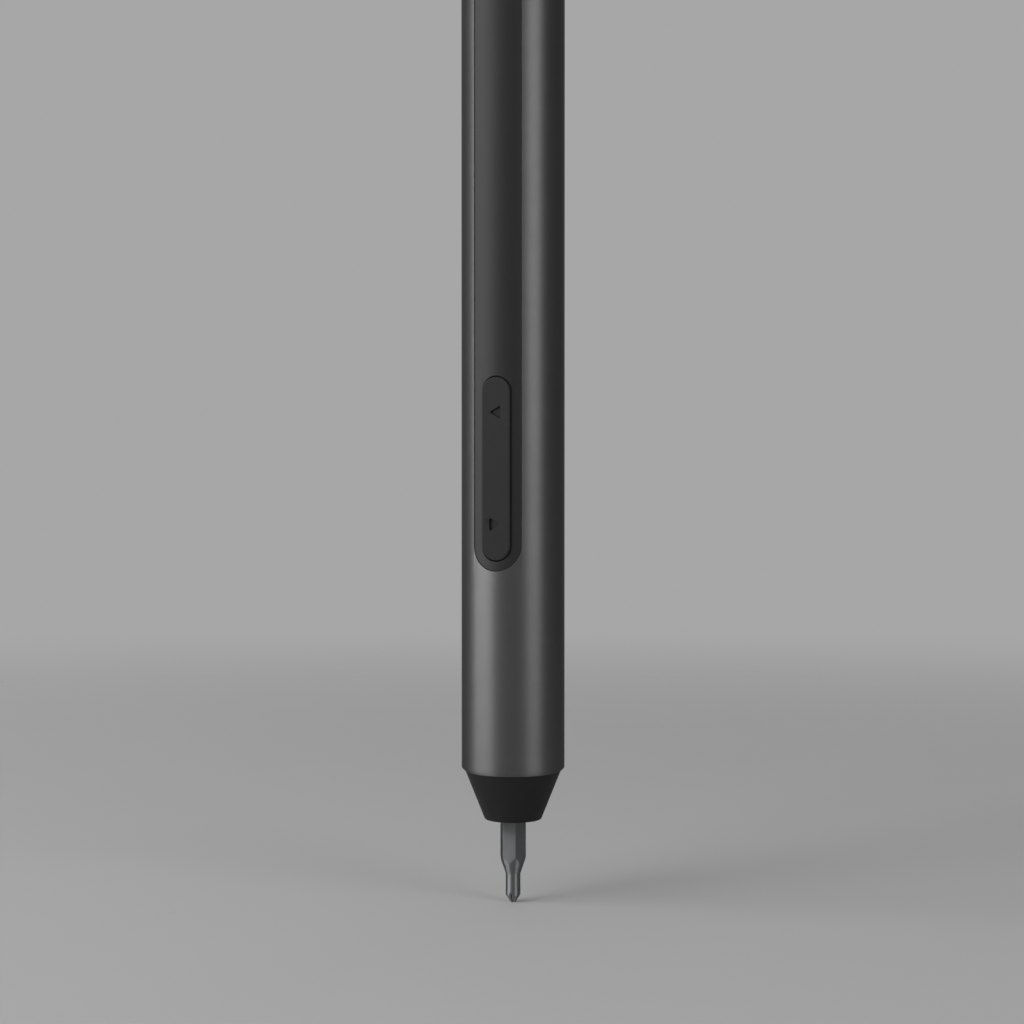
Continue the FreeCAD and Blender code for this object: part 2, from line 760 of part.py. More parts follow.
def make_switch(name, height):
    body = new_body(f"switch_{name}")
    half = s.switch_size / 2
    base = sketch_on(body, "XZ_Plane", board_front + s.touch_gap)
    rectangle(base, -half, half, height - half, height + half)
    pad(body, base, s.switch_height - s.touch_gap)
    well = sketch_on(body, "XZ_Plane", switch_front)
    circle(well, ZERO, height, s.plunger_diameter / 2 + s.fit_gap)
    pocket(body, well, s.plunger_depth + s.plunger_room)
    plunger = new_body(f"plunger_{name}")
    stem = sketch_on(plunger, "XZ_Plane", plunger_front)
    circle(stem, ZERO, height, s.plunger_diameter / 2)
    pad(plunger, stem, s.plunger_rise + s.plunger_depth, back=True)


def make_main_board():
    body = new_body("main_board")
    sketch = sketch_on(body, "XZ_Plane", board_back)
    rectangle(sketch, -board_half, board_half, board_low, board_high)
    pad(body, sketch, s.board_thickness)
    half_chip = s.chip_size / 2
    near = board_front + s.touch_gap
    chips = []
    for side in (-1, 1):
        height = rocker_z + s.chip_spread * side
        chips.append(
            box(-half_chip, half_chip, -near - s.chip_height, -near, height - half_chip, height + half_chip)
        )
    group("board_chips", chips)


def chassis_half(label, side):
    """A half shell with its ribs and bulkheads. side is -1 for the front half and 1 for the back one."""
    body = new_body(label)
    motor_seat = motor_radius + s.fit_gap
    cell_seat = cell_radius + s.fit_gap
    inset = (cell_high - cell_low) * CELL_RIB_SHARE
    ribs = [
        (motor_front + s.rib_set, motor_front + s.rib_set + s.rib_width, motor_seat),
        (motor_rear - s.rib_set - s.rib_width, motor_rear - s.rib_set, motor_seat),
        (bulkhead_low, bulkhead_high, lead_hole),
        (cell_low + inset - s.rib_width, cell_low + inset, cell_seat),
        (cell_high - inset, cell_high - inset + s.rib_width, cell_seat),
        (second_bulkhead_low, second_bulkhead_high, lead_hole),
    ]
    start = motor_front + s.touch_gap
    outline = [(insert_radius, chassis_high), (insert_radius, start), (chassis_bore, start)]
    for low, high, radius in ribs:
        outline += [(chassis_bore, low), (radius, low), (radius, high), (chassis_bore, high)]
    outline.append((chassis_bore, chassis_high))
    turn(body, outline)
    wide = tube_radius + s.overrun
    half = sketch_on(body, "XZ_Plane", s.chassis_split / 2 * -side)
    rectangle(half, -wide, wide, start - s.overrun, chassis_high + s.overrun)
    pocket(body, half, wide, back=side > 0)
    return body


def screw_places():
    for bulkhead in (bulkhead_low, second_bulkhead_low):
        for side in (-1, 1):
            yield screw_x * side, bulkhead + s.bulkhead / 2


def make_front_chassis():
    body = chassis_half("front_chassis", -1)
    reach = beside(insert_radius, board_half) - s.fit_gap
    for side in (-1, 1):
        rail = sketch_on(body, "XZ_Plane", board_front + s.touch_gap)
        inner, outer = (board_half - s.rail_width) * side, board_half * side
        rectangle(rail, inner, outer, board_low, board_high)
        pad(body, rail, reach - board_front - s.touch_gap)
    window = sketch_on(body, "XZ_Plane", rim_back - s.rim_gap * 2)
    pill(window, button_low + button_radius, button_high - button_radius, rim_radius + s.rim_gap)
    pocket(body, window, tube_radius, back=True)
    bore = sketch_on(body, "YZ_Plane")
    circle(bore, -pivot_front, rocker_z, pivot_radius + s.touch_gap)
    pocket(body, bore, 2 * (pivot_half + s.touch_gap), both=True)
    for x, height in screw_places():
        seat = sketch_on(body, "XZ_Plane", screw_seat)
        circle(seat, x, height, s.chassis_screw_head / 2 + s.fit_gap)
        pocket(body, seat, tube_radius, back=True)
        hole = sketch_on(body, "XZ_Plane")
        circle(hole, x, height, s.chassis_screw / 2 + s.fit_gap)
        pocket(body, hole, tube_radius, back=True)


def make_rear_chassis():
    body = chassis_half("rear_chassis", 1)
    back = beside(insert_radius, board_half) - s.fit_gap
    for side in (-1, 1):
        rail = sketch_on(body, "XZ_Plane", -back)
        inner, outer = (board_half - s.rail_width) * side, board_half * side
        rectangle(rail, inner, outer, board_low, board_high)
        pad(body, rail, back + board_back - s.touch_gap)
        ledge = sketch_on(body, "XZ_Plane", -back)
        inner = (charge_board_half - s.rail_width) * side
        rectangle(ledge, inner, outer, second_bulkhead_high - s.overrun, chassis_high)
        pad(body, ledge, back - charge_board_back - s.touch_gap)
    channel = sketch_on(body, "XZ_Plane", s.touch_gap - chassis_bore)
    rectangle(channel, -lead_hole, lead_hole, bulkhead_low - s.overrun, second_bulkhead_high + s.overrun)
    pocket(body, channel, chassis_bore, back=True)
    for x, height in screw_places():
        hole = sketch_on(body, "XZ_Plane")
        circle(hole, x, height, s.chassis_screw / 2 + s.touch_gap)
        pocket(body, hole, s.chassis_screw_length - screw_seat + s.fit_gap)


def make_chassis_screws():
    screws = []
    for x, height in screw_places():
        body = helper_body("ChassisScrew")
        head = sketch_on(body, "XZ_Plane", screw_seat + s.touch_gap)
        circle(head, x, height, s.chassis_screw_head / 2)
        pad(body, head, s.chassis_screw_head_height)
        shank = sketch_on(body, "XZ_Plane", screw_seat + s.touch_gap)
        circle(shank, x, height, s.chassis_screw / 2)
        pad(body, shank, s.chassis_screw_length, back=True)
        screws.append(body)
    group("chassis_screws", screws)


def gap_outline(pitch_radius, teeth, inner, outer, internal, angle):
    """A straight-flanked tooth gap between two radii, with its middle line at an angle.

    It is widest towards the tips: at the outside of a gear, and at the inside of a ring gear.
    """
    middle = gear_module * HALF_TOOTH_SHARE + s.tooth_play / 2
    quarter = TURN / teeth / 4
    lean = FLANK_LEAN - quarter if internal else FLANK_LEAN + quarter
    slope = tangent(as_size(lean)) * (-1 if internal else 1)
    points = []
    for radius, side in ((inner, -1), (outer, -1), (outer, 1), (inner, 1)):
        half = (middle + (radius - pitch_radius) * slope) * side
        x = radius * cosine(angle) - half * sine(angle)
        y = radius * sine(angle) + half * cosine(angle)
        points.append((x, y))
    return points


def cut_teeth(body, pitch_radius, teeth, tip, low, length, angle):
    """Cut the gaps of an outside gear into a disc that the body already has."""
    gap = sketch_on(body, "XY_Plane", low)
    inner = pitch_radius - gear_module * TOOTH_ROOT_SHARE
    outer = pitch_radius + gear_module * (tip + TOOTH_ROOT_SHARE)
    polygon(gap, gap_outline(pitch_radius, teeth, inner, outer, False, angle))
    first = pocket(body, gap, length, back=True)
    polar(body, first, teeth)


def disc(body, radius, low, length):
    sketch = sketch_on(body, "XY_Plane", low)
    circle(sketch, ZERO, ZERO, radius)
    return pad(body, sketch, length)


def bore_through(body, x, y, radius, low, length):
    sketch = sketch_on(body, "XY_Plane", low - s.overrun)
    circle(sketch, x, y, radius)
    return pocket(body, sketch, length + 2 * s.overrun, back=True)


def make_gear_case():
    body = new_body("gear_case")
    bush = s.rear_bush_diameter / 2 + s.touch_gap
    turn(
        body,
        [
            (bush, case_front),
            (insert_radius, case_front),
            (insert_radius, case_rear),
            (ring_tip, case_rear),
            (ring_tip, case_floor),
            (bush, case_floor),
        ],
    )
    gap = sketch_on(body, "XY_Plane", case_floor)
    inner = ring_tip - gear_module
    outer = ring_radius + gear_module * TOOTH_ROOT_SHARE
    polygon(gap, gap_outline(ring_radius, RING_TEETH, inner, outer, True, as_size(TURN / RING_TEETH / 2)))
    first = pocket(body, gap, case_rear - case_floor + s.overrun, back=True)
    polar(body, first, RING_TEETH)


def make_bushes():
    bore = spindle_radius + s.running_gap
    front = new_body("front_bush")
    outer, flange = s.bush_diameter / 2, s.bush_flange_diameter / 2
    turn(
        front,
        [
            (bore, bush_low),
            (outer, bush_low),
            (outer, bush_shoulder),
            (flange, bush_shoulder),
            (flange, bush_high),
            (bore, bush_high),
        ],
    )
    ring(new_body("rear_bush"), bore, s.rear_bush_diameter / 2, case_front, case_floor)
    washer_hole = spindle_radius + s.fit_gap
    ring(new_body("thrust_washer"), washer_hole, s.washer_diameter / 2, washer_low, washer_high)


def cut_flats(body, low, length):
    """The two flats on the end of the spindle."""
    near, far = stub_half, s.collar_diameter / 2
    for side in (-1, 1):
        sketch = sketch_on(body, "XY_Plane", low)
        rectangle(sketch, -far, far, near * side, far * side)
        pocket(body, sketch, length, back=True)


def make_spindle():
    body = new_body("spindle")
    collar = s.collar_diameter / 2
    stub_top = output_plate_high
    turn(
        body,
        [
            (ZERO, spindle_mouth),
            (spindle_radius - s.spindle_chamfer, spindle_mouth),
            (spindle_radius, spindle_mouth + s.spindle_chamfer),
            (spindle_radius, collar_low),
            (collar, collar_low),
            (collar, collar_high),
            (spindle_radius, collar_high),
            (spindle_radius, spindle_shoulder),
            (stub_radius, spindle_shoulder),
            (stub_radius, stub_top),
            (ZERO, stub_top),
        ],
    )
    socket = sketch_on(body, "XY_Plane", spindle_mouth - s.overrun)
    hexagon(socket, s.bit_across + 2 * s.socket_gap)
    pocket(body, socket, magnet_low - spindle_mouth + s.overrun, back=True)
    seat = sketch_on(body, "XY_Plane", magnet_low - s.overrun)
    circle(seat, ZERO, ZERO, s.magnet_diameter / 2 + s.touch_gap)
    pocket(body, seat, s.magnet_length + s.overrun + s.touch_gap, back=True)
    cut_flats(body, spindle_shoulder, stub_top - spindle_shoulder + s.overrun)
    disc(new_body("bit_magnet"), s.magnet_diameter / 2, magnet_low, s.magnet_length)


def make_driver_bit():
    body = new_body("driver_bit")
    shank_top = s.bit_shank_length
    sketch = sketch_on(body, "XY_Plane", shank_top)
    hexagon(sketch, s.bit_across)
    pad(body, sketch, s.bit_length - shank_top)
    wide = corner_radius * 2
    slope = s.bit_taper / (corner_radius - shank_radius)
    groove(
        body,
        [
            (shank_radius, shank_top),
            (wide, shank_top),
            (wide, shank_top + (wide - shank_radius) * slope),
        ],
    )
    bevel = corner_radius - s.bit_end_chamfer
    groove(
        body,
        [
            (bevel, s.bit_length),
            (corner_radius, s.bit_length - s.bit_end_chamfer),
            (wide, s.bit_length - s.bit_end_chamfer),
            (wide, s.bit_length),
        ],
    )
    turn(
        body,
        [
            (ZERO, ZERO),
            (s.tip_flat / 2, ZERO),
            (shank_radius, s.tip_taper),
            (shank_radius, shank_top),
            (ZERO, shank_top),
        ],
    )
    far = s.bit_shank
    half = s.flute_width / 2 * far / shank_radius
    low = sketch_on(body, "XY_Plane")
    polygon(low, [(s.flute_root, ZERO), (far, half), (far, -half)])
    high = sketch_on(body, "XY_Plane", s.flute_length)
    polygon(high, [(shank_radius, ZERO), (far, half), (far, -half)])
    flute = feature_of(body, "PartDesign::SubtractiveLoft", low)
    flute.Sections = [high]
    flute.Ruled = True
    cuts.append(flute)
    polar(body, flute, WINGS)


def planet_pins(label, low, high):
    pins = []
    for step in range(PLANETS):
        x, y = on_orbit(planet_orbit, step)
        pins.append(rod(x, y, low, high, s.planet_pin / 2))
    group(label, pins)


def pin_holes(body, low, length):
    x, y = on_orbit(planet_orbit, 0)
    polar(body, bore_through(body, x, y, s.planet_pin / 2 + s.touch_gap, low, length), PLANETS)


def make_planets(stage, low, width):
    for step in range(PLANETS):
        body = new_body(f"{stage}_planet_{step + 1}")
        disc(body, planet_radius + gear_module * PLANET_TIP_SHARE, ZERO, width)
        cut_teeth(body, planet_radius, PLANET_TEETH, PLANET_TIP_SHARE, ZERO, width + s.overrun, ZERO)
        bore_through(body, ZERO, ZERO, s.planet_pin / 2 + s.running_gap, ZERO, width)
        x, y = on_orbit(planet_orbit, step)
        for name, size in (("x", x), ("y", y), ("z", low)):
            bind(body, f"Placement.Base.{name}", size)


def make_output_stage():
    body = new_body("output_carrier")
    disc(body, carrier_radius, output_plate_low, s.output_plate)
    hole = sketch_on(body, "XY_Plane", output_plate_low - s.overrun)
    circle(hole, ZERO, ZERO, stub_radius + s.touch_gap)
    pocket(body, hole, s.output_plate + 2 * s.overrun, back=True)
    near, far = stub_half + s.touch_gap, stub_radius + s.overrun
    for side in (-1, 1):
        flat = sketch_on(body, "XY_Plane", output_plate_low)
        rectangle(flat, -near, near, near * side, far * side)
        pad(body, flat, s.output_plate)
    pin_holes(body, output_plate_low, s.output_plate)
    planet_pins("output_pins", output_plate_low, output_face_high + s.stage_gap / 2)
    make_planets("output", output_face_low, s.output_face)


def make_first_stage():
    body = new_body("first_carrier")
    sun_low = output_face_low - s.stage_gap / 2
    tip = sun_radius + gear_module * SUN_TIP_SHARE
    disc(body, tip, sun_low, first_plate_low - sun_low)
    cut_teeth(body, sun_radius, SUN_TEETH, SUN_TIP_SHARE, sun_low, first_plate_low - sun_low, SUN_TURN)
    disc(body, carrier_radius, first_plate_low, s.first_plate)
    pin_holes(body, first_plate_low, s.first_plate)
    planet_pins("first_pins", first_plate_low, first_face_high + s.stage_gap / 2)
    make_planets("first", first_face_low, s.first_face)


def make_motor_pinion():
    body = new_body("motor_pinion")
    low = first_face_low - s.stage_gap / 2
    length = s.first_face + s.stage_gap
    disc(body, sun_radius + gear_module * SUN_TIP_SHARE, low, length)
    cut_teeth(body, sun_radius, SUN_TEETH, SUN_TIP_SHARE, low, length + s.overrun, SUN_TURN)
    bore_through(body, ZERO, ZERO, shaft_radius + s.touch_gap, low, length)


def make_motor_rotor():
    low = first_face_low - s.stage_gap / 2
    disc(new_body("motor_shaft"), shaft_radius, low, shaft_end - low)
    body = new_body("motor_armature")
    hole = shaft_radius + s.touch_gap
    ring(body, hole, armature_radius, armature_low, armature_high)
    room = (armature_radius - s.pole_tip - hole - s.core_wall) / 2
    middle = armature_radius - s.pole_tip - room
    slot = sketch_on(body, "XY_Plane", armature_low)
    circle(slot, middle, ZERO, room)
    polar(body, pocket(body, slot, s.armature_length, back=True), POLES)
    mouth = sketch_on(body, "XY_Plane", armature_low)
    half = s.armature_slot / 2
    rectangle(mouth, middle, armature_radius + s.overrun, -half, half)
    polar(body, pocket(body, mouth, s.armature_length, back=True), POLES)
    low = armature_high + s.touch_gap
    ring(new_body("motor_commutator"), hole, s.commutator_diameter / 2, low, low + s.commutator_length)


def make_motor_magnets():
    outer = motor_bore - s.touch_gap
    span = as_size(TURN * MAGNET_TURN_SHARE)
    magnets = []
    for side in (0, 1):
        block = rod(ZERO, ZERO, armature_low, armature_high, outer)
        bind(block, "Angle", span)
        bind(block, "Placement.Rotation.Angle", as_size(TURN / 2 * side) - span / 2)
        low, high = armature_low - s.overrun, armature_high + s.overrun
        core = rod(ZERO, ZERO, low, high, outer - s.magnet_thickness)
        magnet = doc.addObject("Part::Cut", "Magnet")
        magnet.Base = block
        magnet.Tool = core
        magnets.append(magnet)
    group("motor_magnets", magnets)


def screw_holes(body, radius, low, length):
    for side in (-1, 1):
        bore_through(body, motor_screw_x * side, ZERO, radius, low, length)


def make_motor_case():
    body = new_body("motor_can")
    hole = shaft_radius + s.running_gap
    boss = s.motor_boss / 2
    turn(
        body,
        [
            (hole, motor_front - s.motor_boss_length),
            (boss, motor_front - s.motor_boss_length),
            (boss, motor_front),
            (motor_radius, motor_front),
            (motor_radius, motor_rear),
            (motor_bore, motor_rear),
            (motor_bore, motor_front + s.motor_wall),
            (hole, motor_front + s.motor_wall),
        ],
    )
    screw_holes(body, s.motor_screw / 2 + s.touch_gap, motor_front, s.motor_wall)
    bell = new_body("motor_end_bell")
    plug = motor_bore - s.touch_gap
    plug_low = motor_rear - s.bell_plug
    outer = motor_radius - s.bell_step
    turn(
        bell,
        [
            (hole, plug_low),
            (plug, plug_low),
            (plug, motor_rear),
            (outer, motor_rear),
            (outer, bell_rear),
            (ZERO, bell_rear),
            (ZERO, bell_floor),
            (hole, bell_floor),
        ],
    )
    half = s.terminal_width / 2
    low = bell_rear + s.touch_gap
    strips = []
    for side in (-1, 1):
        middle = s.terminal_spread / 2 * side
        near, far = middle - s.terminal_thickness / 2, middle + s.terminal_thickness / 2
        strips.append(box(near, far, -half, half, low, low + s.terminal_length))
    group("motor_terminals", strips)


def make_motor_plate():
    body = new_body("motor_plate")
    low = case_rear + s.touch_gap
    high = motor_front - s.touch_gap
    ring(body, s.motor_boss / 2 + s.touch_gap, insert_radius, low, high)
    screw_holes(body, s.motor_screw / 2 + s.touch_gap, low, s.plate_thickness)
    head, shank = s.motor_screw_head / 2, s.motor_screw / 2
    sink = (head - shank) / tangent(as_size(SINK_LEAN))
    screws = []
    for side in (-1, 1):
        middle = motor_screw_x * side
        screw = helper_body("MotorScrew")
        turn(
            screw,
            [
                (ZERO, ZERO),
                (head, ZERO),
                (shank, sink),
                (shank, s.motor_screw_length),
                (ZERO, s.motor_screw_length),
            ],
        )
        bind(screw, "Placement.Base.x", middle)
        bind(screw, "Placement.Base.z", low)
        screws.append(screw)
    group("motor_screws", screws)
    for side in (-1, 1):
        seat = sketch_on(body, "XY_Plane", low)
        circle(seat, motor_screw_x * side, ZERO, head + s.touch_gap)
        deep = pocket(body, seat, sink + s.touch_gap, back=True)
        deep.TaperAngle = -SINK_LEAN


def make_battery():
    body = new_body("battery_cell")
    outer, nub = cell_radius, s.cell_nub_diameter / 2
    turn(
        body,
        [
            (ZERO, cell_low),
            (outer - s.cell_rounding, cell_low),
            (outer, cell_low + s.cell_rounding),
            (outer, cell_high - s.cell_rounding),
            (outer - s.cell_rounding, cell_high),
            (nub, cell_high),
            (nub, cell_end),
            (ZERO, cell_end),
        ],
    )
    plates = []
    for low in (bulkhead_high + s.touch_gap, cell_end + s.touch_gap):
        plates.append(rod(ZERO, ZERO, low, low + s.contact_thickness, cell_radius - s.contact_set))
    group("cell_contacts", plates)


def lead(x, points):
    """One lead in the plane at x, through points of y and z, which starts along z or along y."""
    body = helper_body("Lead")
    spine = sketch_on(body, "YZ_Plane", x)
    bent_line(spine, points, s.lead_bend)
    if points[0][0].value == points[1][0].value:
        profile = sketch_on(body, "XY_Plane", points[0][1])
        circle(profile, x, points[0][0], s.lead_diameter / 2)
    else:
        profile = sketch_on(body, "XZ_Plane", -points[0][0])
        circle(profile, x, points[0][1], s.lead_diameter / 2)
    pipe = feature_of(body, "PartDesign::AdditivePipe", profile)
    pipe.Spine = (spine, [f"Edge{i + 1}" for i in range(spine.GeometryCount)])
    return body


def make_leads():
    radius = s.lead_diameter / 2
    board = -board_back + s.touch_gap
    along = (chassis_bore + cell_radius) / 2
    lower_switch, upper_switch = rocker_z - s.switch_spread, rocker_z + s.switch_spread
    beside = s.terminal_spread / 2 - s.terminal_thickness / 2 - s.touch_gap - radius
    rise = bell_rear + s.motor_lead_rise
    start = bell_rear + s.fit_gap
    motor = [lead(beside * side, [(ZERO, start), (ZERO, rise), (board, rise)]) for side in (-1, 1)]
    group("motor_leads", motor)
    plate = bulkhead_high - s.fit_gap
    minus = lead(s.lead_pitch, [(ZERO, plate), (ZERO, upper_switch), (board, upper_switch)])
    behind = cell_end + s.contact_thickness + s.touch_gap + s.fit_gap + radius
    landing = upper_switch - s.lead_tail
    plus = lead(ZERO, [(ZERO, behind), (along, behind), (along, landing), (board, landing)])
    group("cell_leads", [minus, plus])
    charge = charge_board_back + s.touch_gap
    height = charge_board_low + s.lead_tail
    charging = []
    for side in (-1, 1):
        landing = lower_switch + s.lead_tail
        points = [(charge, height), (along, height), (along, landing), (board, landing)]
        charging.append(lead(s.lead_pitch * side, points))
    group("charge_leads", charging)


def make_charge_port():
    board = new_body("charge_board")
    half = charge_board_half
    sketch = sketch_on(board, "XZ_Plane", -charge_board_near)
    rectangle(sketch, -half, half, charge_board_low, charge_board_high)
    pad(board, sketch, s.board_thickness, back=True)
    radius = s.port_height / 2
    run = s.port_width / 2 - radius
    mouth = cap_face - s.port_set
    shell = new_body("port_shell")
    outside = sketch_on(shell, "XY_Plane", mouth)
    pill(outside, -run, run, radius, lying=True)
    pad(shell, outside, s.port_length, back=True)
    inside = sketch_on(shell, "XY_Plane", mouth)
    pill(inside, -run, run, radius - s.port_wall, lying=True)
    pocket(shell, inside, s.port_length - s.port_back)
    tongue = new_body("port_tongue")
    root_z = mouth - s.port_length + s.port_back + s.touch_gap
    stem = sketch_on(tongue, "XY_Plane", root_z)
    rectangle(stem, -s.tongue_width / 2, s.tongue_width / 2, -s.tongue_height / 2, s.tongue_height / 2)
    pad(tongue, stem, s.tongue_length)


def make_end_cap():
    body = new_body("end_cap")
    outer = tube_radius - s.tube_chamfer
    inner = insert_radius - s.cap_wall
    floor = cap_face - s.cap_floor
    turn(
        body,
        [
            (ZERO, floor),
            (inner, floor),
            (inner, cap_low),
            (insert_radius, cap_low),
            (insert_radius, tube_rear),
            (outer, tube_rear),
            (outer, cap_face),
            (ZERO, cap_face),
        ],
    )
    round_edges(body, s.cap_rounding, lambda e: lies_at(e, "Z", cap_face))
    radius = s.port_height / 2 + s.fit_gap
    run = s.port_width / 2 - s.port_height / 2
    opening = sketch_on(body, "XY_Plane", cap_face + s.overrun)
    pill(opening, -run, run, radius, lying=True)
    pocket(body, opening, s.cap_floor + 2 * s.overrun)


def check_and_export():
    """Stop if anything failed to build or a cut missed, then write one file for each sub-part."""
    doc.recompute()
    for thing in doc.Objects:
        if {"Invalid", "Error"} & set(thing.State):
            raise RuntimeError(f"{thing.Name} did not build: {thing.State}")
    for cut in cuts:
        if cut.Shape.Volume >= cut.BaseFeature.Shape.Volume:
            raise RuntimeError(f"{cut.Name} cut nothing from {cut.getParentGeoFeatureGroup().Label}")
    os.makedirs("parts", exist_ok=True)
    for part in parts:
        if part.Shape.isNull() or not part.Shape.isValid():
            raise RuntimeError(f"{part.Label} has no valid shape")
        part.Shape.exportStep(f"parts/{part.Label}.step")


def main():
    make_body_tube()
    make_nose_cone()
    make_panel_strip()
    make_rocker_button()
    make_rocker_pin()
    make_switch("lower", rocker_z - s.switch_spread)
    make_switch("upper", rocker_z + s.switch_spread)
    make_main_board()
    make_front_chassis()
    make_rear_chassis()
    make_chassis_screws()
    make_gear_case()
    make_bushes()
    make_spindle()
    make_driver_bit()
    make_output_stage()
    make_first_stage()
    make_motor_pinion()
    make_motor_rotor()
    make_motor_magnets()
    make_motor_case()
    make_motor_plate()
    make_battery()
    make_charge_port()
    make_leads()
    make_end_cap()
    check_and_export()


main()
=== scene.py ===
import json
import math

import bmesh
import bpy
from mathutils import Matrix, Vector
from mathutils.geometry import delaunay_2d_cdt


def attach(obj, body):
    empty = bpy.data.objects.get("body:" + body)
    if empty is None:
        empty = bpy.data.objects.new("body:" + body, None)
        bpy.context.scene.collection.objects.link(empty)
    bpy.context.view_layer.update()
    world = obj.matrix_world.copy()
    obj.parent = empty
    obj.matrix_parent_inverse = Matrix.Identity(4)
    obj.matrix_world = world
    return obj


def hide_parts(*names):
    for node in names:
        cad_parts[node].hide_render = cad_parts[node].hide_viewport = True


# The pen-style electric screwdriver, dressed.
# +Z runs up the axis from the bit's tip, and the button panel faces -Y.
# The part and the floor are measured in millimetres, the rest of the studio in metres.
# The values named FACE or BACK, and PIVOT_FRONT, are distances from the axis towards -Y.

MM = 0.001

# barrel, with its round-ended slot
TUBE_RADIUS, TUBE_BORE = 8.75, 7.65
TUBE_FRONT, TUBE_REAR, TUBE_CHAMFER = 22.4, 172.3, 0.6
RIM_STEP = 0.1  # at each end, from the bore to the next ring
SLOT_RADIUS, SLOT_LOW, SLOT_HIGH = 4.2, 60.8, 160.9

# panel in the slot, with its opening for the rocker
PANEL_RADIUS, PANEL_FACE, PANEL_BACK = 4.14, 8.66, 7.62
OPENING_RADIUS, OPENING_LOW, OPENING_HIGH = 2.58, 60.8, 86.5

# rocker
CAP_RADIUS, CAP_LOW, CAP_HIGH, CAP_FACE = 2.52, 60.86, 86.44, 8.72
PIVOT_HEIGHT, PIVOT_FRONT, SWITCH_SPREAD = 73.75, 4.9, 9.3

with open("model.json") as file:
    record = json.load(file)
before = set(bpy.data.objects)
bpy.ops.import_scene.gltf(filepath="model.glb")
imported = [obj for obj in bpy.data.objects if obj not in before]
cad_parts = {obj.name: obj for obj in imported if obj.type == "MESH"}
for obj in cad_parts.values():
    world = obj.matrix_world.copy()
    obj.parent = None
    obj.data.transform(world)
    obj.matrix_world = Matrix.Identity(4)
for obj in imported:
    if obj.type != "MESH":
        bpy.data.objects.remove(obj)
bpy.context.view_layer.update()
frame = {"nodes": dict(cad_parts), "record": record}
scene = bpy.context.scene


# Meshes


class Skin:
    """Collects sheets of points and welds them into one piece."""

    weld, tiny_edge = 0.0004, 0.0002

    def __init__(self):
        self.points = []
        self.faces = []

    def add(self, points, faces):
        first = len(self.points)
        self.points += points
        self.faces += [tuple(first + k for k in face) for face in faces]

    def grid(self, rows, closed=False):
        across = len(rows[0])
        faces = []
        for i in range(len(rows) - 1):
            for j in range(across if closed else across - 1):
                a = i * across + j
                b = i * across + (j + 1) % across
                faces.append((a, b, b + across, a + across))
        self.add([point for row in rows for point in row], faces)

    def fan(self, loop):
        self.add(loop, [range(len(loop))])

    def mesh(self, name):
        mesh = bpy.data.meshes.new(name)
        mesh.from_pydata([tuple(c * MM for c in p) for p in self.points], [], self.faces)
        return mesh

    def piece(self, name, body, node, slot, material, sharp=35.0):
        """The welded piece. Edges that turn by more than sharp degrees stay crisp."""
        mesh = self.mesh(name)
        bm = bmesh.new()
        bm.from_mesh(mesh)
        bmesh.ops.remove_doubles(bm, verts=bm.verts, dist=self.weld * MM)
        bmesh.ops.dissolve_degenerate(bm, edges=bm.edges, dist=self.tiny_edge * MM)
        bmesh.ops.recalc_face_normals(bm, faces=bm.faces)
        for face in bm.faces:
            face.smooth = True
        bm.to_mesh(mesh)
        bm.free()
        mesh.set_sharp_from_angle(angle=math.radians(sharp))
        mesh.materials.append(material)
        piece = bpy.data.objects.new(name, mesh)
        scene.collection.objects.link(piece)
        even = piece.modifiers.new("even_shading", "WEIGHTED_NORMAL")
        even.keep_sharp = True
        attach(piece, body)
        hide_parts(node)
        return piece


def mix(low, high, share):
    return low + (high - low) * share


def steps(low, high, count):
    return [low + (high - low) * k / count for k in range(count + 1)]


def full_turn(count):
    return [math.tau * k / count for k in range(count)]


def half_turn(count):
    return [math.radians(a) for a in steps(-90.0, 90.0, count)]


def around(radius, z, angles):
    """Points of a circle round the axis, from -Y towards +X."""
    return [(radius * math.sin(a), -radius * math.cos(a), z) for a in angles]


def on_front(radius, x, z):
    """The point of a cylinder round the axis that faces -Y at this x."""
    return (x, -math.sqrt(radius * radius - x * x), z)


def half_chord(radius, x):
    return math.sqrt(max(radius * radius - x * x, 0.0))


def bearings(xs, radius):
    """Angles of the points of a circle that have these x."""
    return [math.asin(max(-1.0, min(1.0, x / radius))) for x in xs]


def rounded(corners, segments=5):
    """A flat outline of (across, up, rounding) corners, with each rounding drawn as an arc."""
    outline = []
    for k, (across, up, fillet) in enumerate(corners):
        if not fillet:
            outline.append((across, up))
            continue
        here = Vector((across, up))
        before = (Vector(corners[k - 1][:2]) - here).normalized()
        after = (Vector(corners[(k + 1) % len(corners)][:2]) - here).normalized()
        half = before.angle(after) / 2
        centre = here + (before + after).normalized() * (fillet / math.sin(half))
        start = here + before * (fillet / math.tan(half)) - centre
        end = here + after * (fillet / math.tan(half)) - centre
        for t in steps(0.0, 1.0, segments):
            p = centre + start.slerp(end, t) * fillet
            outline.append((p.x, p.y))
    return outline


def fillet_rings(face_side, wall_radius, face, back, size, segments=4):
    """Pairs of (outline radius, cylinder radius) that round an edge and then run down its wall.

    face_side is -1 where the face lies inside the outline, as on a panel, and 1 where it lies outside,
    as round an opening.
    """
    rings = []
    for t in steps(0.0, math.pi / 2, segments):
        outline = wall_radius + face_side * size * (1 - math.sin(t))
        rings.append((outline, face - size * (1 - math.cos(t))))
    rings.append((wall_radius, back))
    return rings


def pill_places(low, high, arc, side):
    """Places round a long outline: (height of the centre, direction in x, direction in z)."""
    places = [(low, math.sin(a), -math.cos(a)) for a in arc]
    places += [(z, 1.0, 0.0) for z in side[1:-1]]
    places += [(high, math.sin(a), math.cos(a)) for a in reversed(arc)]
    places += [(z, -1.0, 0.0) for z in reversed(side[1:-1])]
    return places


